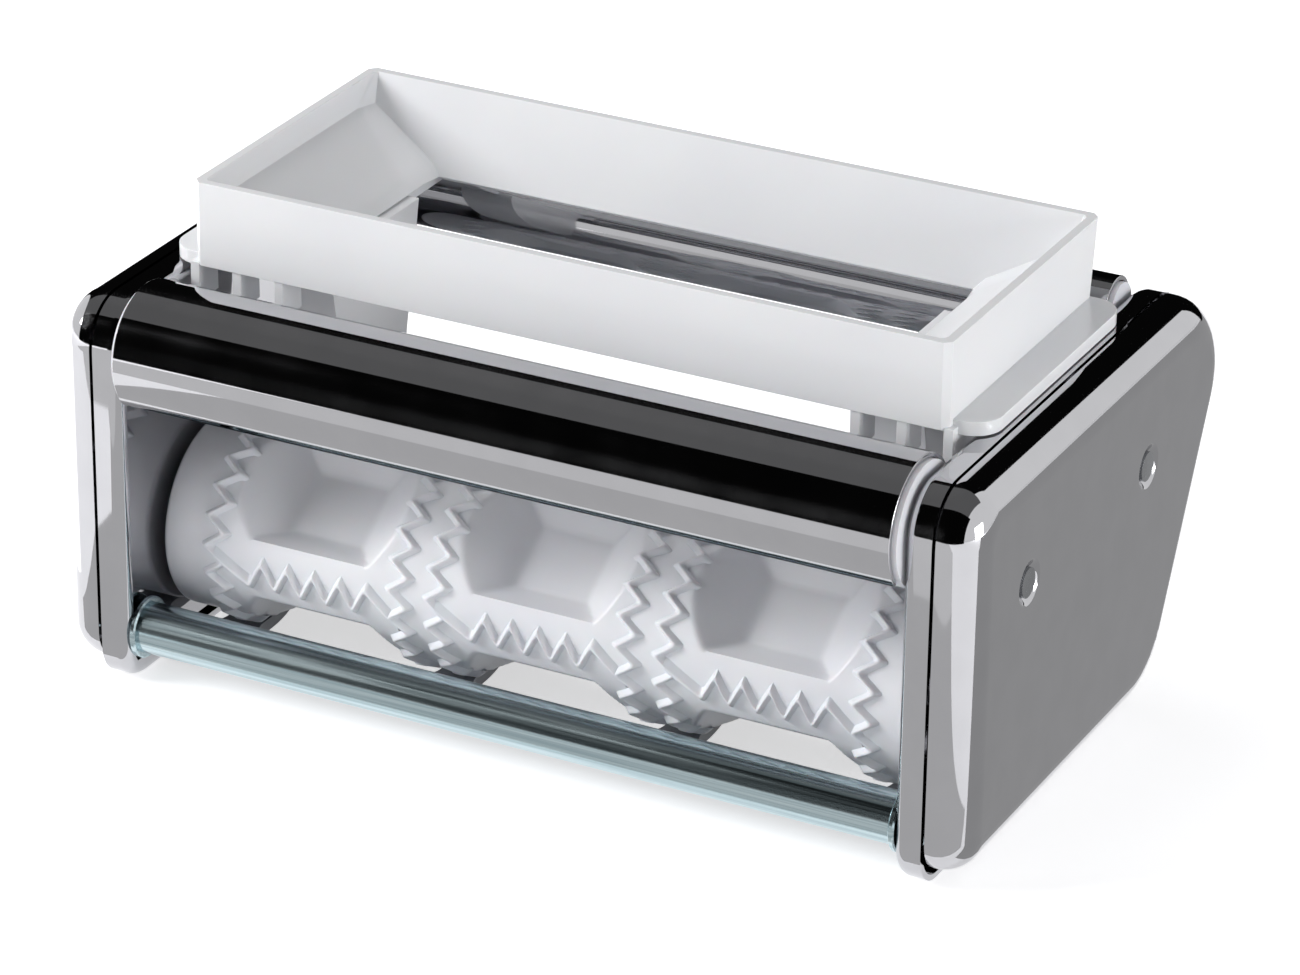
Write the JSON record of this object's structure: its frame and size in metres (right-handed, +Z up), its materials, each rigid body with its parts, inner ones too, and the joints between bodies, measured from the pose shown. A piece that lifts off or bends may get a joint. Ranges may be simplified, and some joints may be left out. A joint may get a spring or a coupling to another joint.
{
  "type": "ravioli maker attachment",
  "caption": "Ravioli attachment for a hand cranked pasta machine: geared forming rollers between chromed side covers, under a lift-off filling tray.",
  "frame": {"origin": "on the table, under the middle of the bounding box", "axes": "+X along the rollers to the right end, -Y to the front, +Z up"},
  "size_m": [0.197, 0.1246, 0.1008],
  "materials": {
    "chrome_steel": "bright chrome plate on pressed steel",
    "zinc_steel": "bluish zinc plate",
    "plain_steel": "plain turned steel",
    "white_gloss_plastic": "glossy white moulding",
    "white_moulded_plastic": "satin white moulding",
    "grey_plastic": "grey moulding"
  },
  "bodies": {
    "frame": {"axle_bushes": "grey_plastic", "cover_posts": "plain_steel", "cover_screws": "plain_steel", "front_fender": "chrome_steel", "front_scraper_comb": "grey_plastic", "front_tie_rod": "zinc_steel", "left_fender_plug": "white_moulded_plastic", "left_guide_plug": "white_moulded_plastic", "left_inner_plate": "chrome_steel", "left_outer_cover": "chrome_steel", "rear_guide": "chrome_steel", "rear_scraper_comb": "grey_plastic", "rear_tie_rod": "zinc_steel", "right_fender_plug": "white_moulded_plastic", "right_guide_plug": "white_moulded_plastic", "right_inner_plate": "chrome_steel", "right_outer_cover": "chrome_steel", "tie_rod_nuts": "zinc_steel"},
    "front_roller": {"drive_gear": "plain_steel", "front_axle_clips": "plain_steel", "front_forming_roller": "white_moulded_plastic", "front_roller_axle": "plain_steel"},
    "rear_roller": {"driven_gear": "plain_steel", "rear_axle_clips": "plain_steel", "rear_forming_roller": "white_moulded_plastic", "rear_roller_axle": "plain_steel"},
    "hopper": {"hopper": "white_gloss_plastic"}
  },
  "joints": [
    {"name": "front_roller_spin", "type": "hinge", "parent": "frame", "child": "front_roller", "pos_m": [0, -0.0247, 0.0266], "axis": [1, 0, 0], "continuous": true},
    {"name": "rear_roller_spin", "type": "hinge", "parent": "frame", "child": "rear_roller", "pos_m": [0, 0.0188, 0.0266], "axis": [1, 0, 0], "continuous": true},
    {"name": "hopper_lift", "type": "slide", "parent": "frame", "child": "hopper", "axis": [0, 0, 1], "range_m": [0, 0.06]}
  ],
  "couplings": [
    {"joint": "rear_roller_spin", "follows": "front_roller_spin", "ratio": -1}
  ]
}
